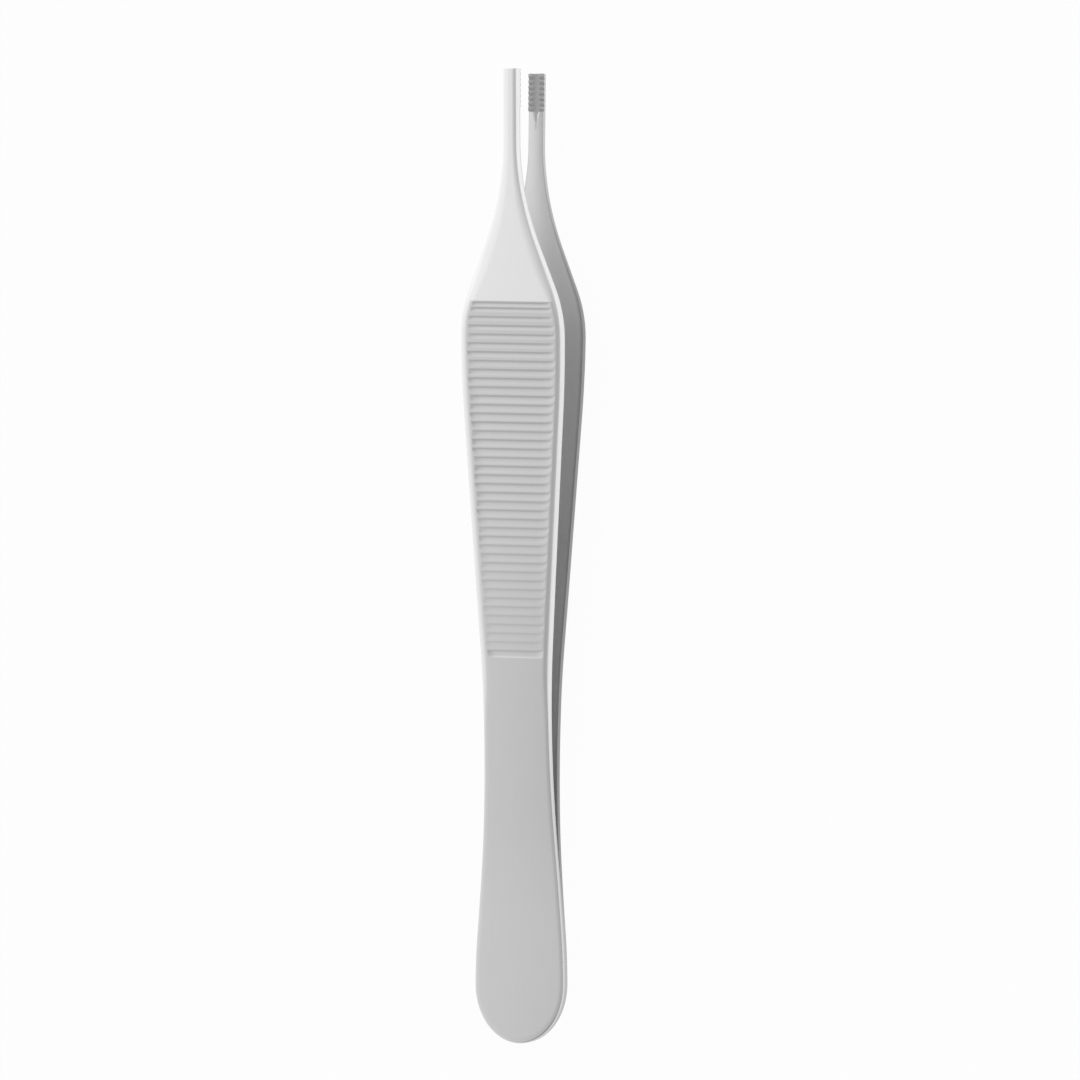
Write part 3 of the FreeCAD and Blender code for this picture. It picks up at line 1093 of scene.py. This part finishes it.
@dataclass
class PhotoCamera:
    """Camera over the forceps, turned a little about its long axis so that the gap between the arms shows.

    Attributes:
        turn: angle to the arms' faces, about the long axis.
        distance: to the weld plane.
        view_height: how much of the weld plane the picture takes in.
        aim_station: station of the picture's middle.
        aim_aside: how far the picture's middle lies to the right of the midline.
        roll: small turn of the picture.
    """

    form: ArmForm
    middle: float
    turn: float = math.radians(15.0)
    distance: float = 1020.0
    view_height: float = 133.33
    aim_station: float = 62.12
    aim_aside: float = 2.1
    roll: float = math.radians(0.2)
    sensor: float = 36.0
    clip_end: float = 10.0

    def place(self) -> bpy.types.Object:
        """Put the camera in the scene.

        Returns:
            The camera's object.
        """
        angle = self.form.stand.angle
        along = Vector((0, math.cos(angle), math.sin(angle)))
        facing = Vector((0, -math.sin(angle), math.cos(angle)))
        across = Vector((1, 0, 0))
        back = math.cos(self.turn) * facing + math.sin(self.turn) * across
        right = math.cos(self.turn) * across - math.sin(self.turn) * facing
        origin = Vector((0, -self.middle, self.form.stand.lift))
        aim = origin + along * self.aim_station + right * self.aim_aside
        tilted_right = math.cos(self.roll) * right + math.sin(self.roll) * along
        tilted_up = math.cos(self.roll) * along - math.sin(self.roll) * right
        data = bpy.data.cameras.new("photo_camera")
        data.sensor_width = self.sensor
        data.lens = self.sensor * self.distance / self.view_height
        data.clip_end = self.clip_end
        camera = link("photo_camera", data)
        turned = Matrix((tilted_right, tilted_up, back)).transposed().to_4x4()
        camera.matrix_world = Matrix.Translation((aim + back * self.distance) * MM) @ turned
        bpy.context.scene.camera = camera
        return camera


@dataclass(frozen=True)
class Softbox:
    """A large rectangular lamp that faces the forceps.

    Attributes:
        azimuth: direction from the object, in degrees from +X towards +Y.
        elevation: height of that direction, in degrees.
        distance: in metres, as are the lamp's width and height.
        power: in watts.
    """

    azimuth: float
    elevation: float
    distance: float
    width: float
    height: float
    power: float

    def place(self, name: str) -> None:
        """Hang the lamp and aim it at the object.

        Args:
            name: the lamp's name.
        """
        data = bpy.data.lights.new(name, "AREA")
        data.shape = "RECTANGLE"
        data.size, data.size_y = self.width, self.height
        data.energy = self.power
        lamp = link(name, data)
        azimuth, elevation = math.radians(self.azimuth), math.radians(self.elevation)
        level = math.cos(elevation)
        towards = Vector((level * math.cos(azimuth), level * math.sin(azimuth), math.sin(elevation)))
        lamp.location = towards * self.distance
        lamp.rotation_euler = towards.to_track_quat("Z", "Y").to_euler()


@dataclass
class Studio:
    """White floor, soft lamps and a pale surround."""

    floor_size: float = 3.0
    floor_brightness: float = 0.9
    glow_share: float = 0.95
    world_level: float = 0.68
    lean_left: float = 0.90
    leftmost: float = 0.35
    rightmost: float = 0.20
    lean_forward: float = 0.22
    boxes: dict = field(default_factory=lambda: {
        "softbox_right": Softbox(0.0, 24.0, 1.4, 1.6, 1.0, 2.5),
        "softbox_tip": Softbox(90.0, 35.0, 1.5, 1.2, 0.8, 0.6),
    })

    def build(self) -> None:
        """Set the floor, the surround, the lamps and the picture's plain rendering of colour."""
        self._floor()
        self._surround()
        for name, box in self.boxes.items():
            box.place(name)
            log.info("%s: %.1f W", name, box.power)
        bpy.context.scene.view_settings.view_transform = "Standard"

    @staticmethod
    def _seen(sheet: NodeSheet) -> Signal:
        """One for a ray that shows the background to the eye, straight or in metal or glass, else zero.

        Args:
            sheet: the material's nodes.

        Returns:
            The signal.
        """
        path = sheet.node("ShaderNodeLightPath", {})
        kinds = ("Camera", "Glossy", "Transmission")
        camera, glossy, through = (Signal(sheet, path.outputs[f"Is {kind} Ray"]) for kind in kinds)
        return (camera + glossy + through).at_most(1.0)

    def _floor(self) -> None:
        """Level white floor that glows a little for the eye, so that it is white and keeps a shadow."""
        corners = np.array([[-1, -1, 0], [1, -1, 0], [1, 1, 0], [-1, 1, 0]]) * self.floor_size / 2
        mesh = bpy.data.meshes.new("floor")
        mesh.from_pydata(corners.tolist(), [], [(0, 1, 2, 3)])
        floor = link("floor", mesh)
        material = bpy.data.materials.new("floor_white")
        sheet = NodeSheet(material)
        pale = (self.floor_brightness,) * 3 + (1.0,)
        matt = sheet.node("ShaderNodeBsdfDiffuse", {"Color": pale})
        glow = sheet.node("ShaderNodeEmission", {"Color": WHITE, "Strength": 1.0})
        mixed = sheet.node("ShaderNodeMixShader", {
            "Fac": self._seen(sheet) * self.glow_share, 1: matt.outputs[0], 2: glow.outputs[0],
        })
        sheet.node("ShaderNodeOutputMaterial", {"Surface": mixed.outputs[0]})
        mesh.materials.append(material)

    def _surround(self) -> None:
        """Pale light from all round, brighter from the left and from beyond the tip.

        The level falls evenly from left to right between the two limits of the lean.
        """
        world = bpy.data.worlds.new("surround")
        bpy.context.scene.world = world
        sheet = NodeSheet(world)
        direction = sheet.node("ShaderNodeTexCoord", {}).outputs["Generated"]
        parts = sheet.node("ShaderNodeSeparateXYZ", {"Vector": direction})
        rightward, forward = Signal(sheet, parts.outputs["X"]), Signal(sheet, parts.outputs["Y"])
        rightward = rightward.at_least(-self.leftmost).at_most(self.rightmost)
        level = self.world_level - rightward * self.lean_left + forward * self.lean_forward
        even = sheet.node("ShaderNodeBackground", {"Color": WHITE, "Strength": level})
        sheet.node("ShaderNodeOutputWorld", {"Surface": even.outputs[0]})


def main() -> None:
    """Build the forceps, the studio and the camera, in that order."""
    logging.basicConfig(level=logging.INFO, format="%(message)s")
    forceps = Forceps()
    arms = forceps.build()
    Studio().build()
    tip = max(vertex.co.y for arm in arms for vertex in arm.data.vertices) / MM
    stand, reach = forceps.form.stand, forceps.form.sizes.outline.length
    low = float(forceps.form.outer_height(reach))
    middle = reach * math.cos(stand.angle) + low * math.sin(stand.angle) - tip
    camera = PhotoCamera(forceps.form, middle).place()
    log.info("camera at %s", tuple(round(v, 3) for v in camera.location))


if __name__ == "__main__":
    main()
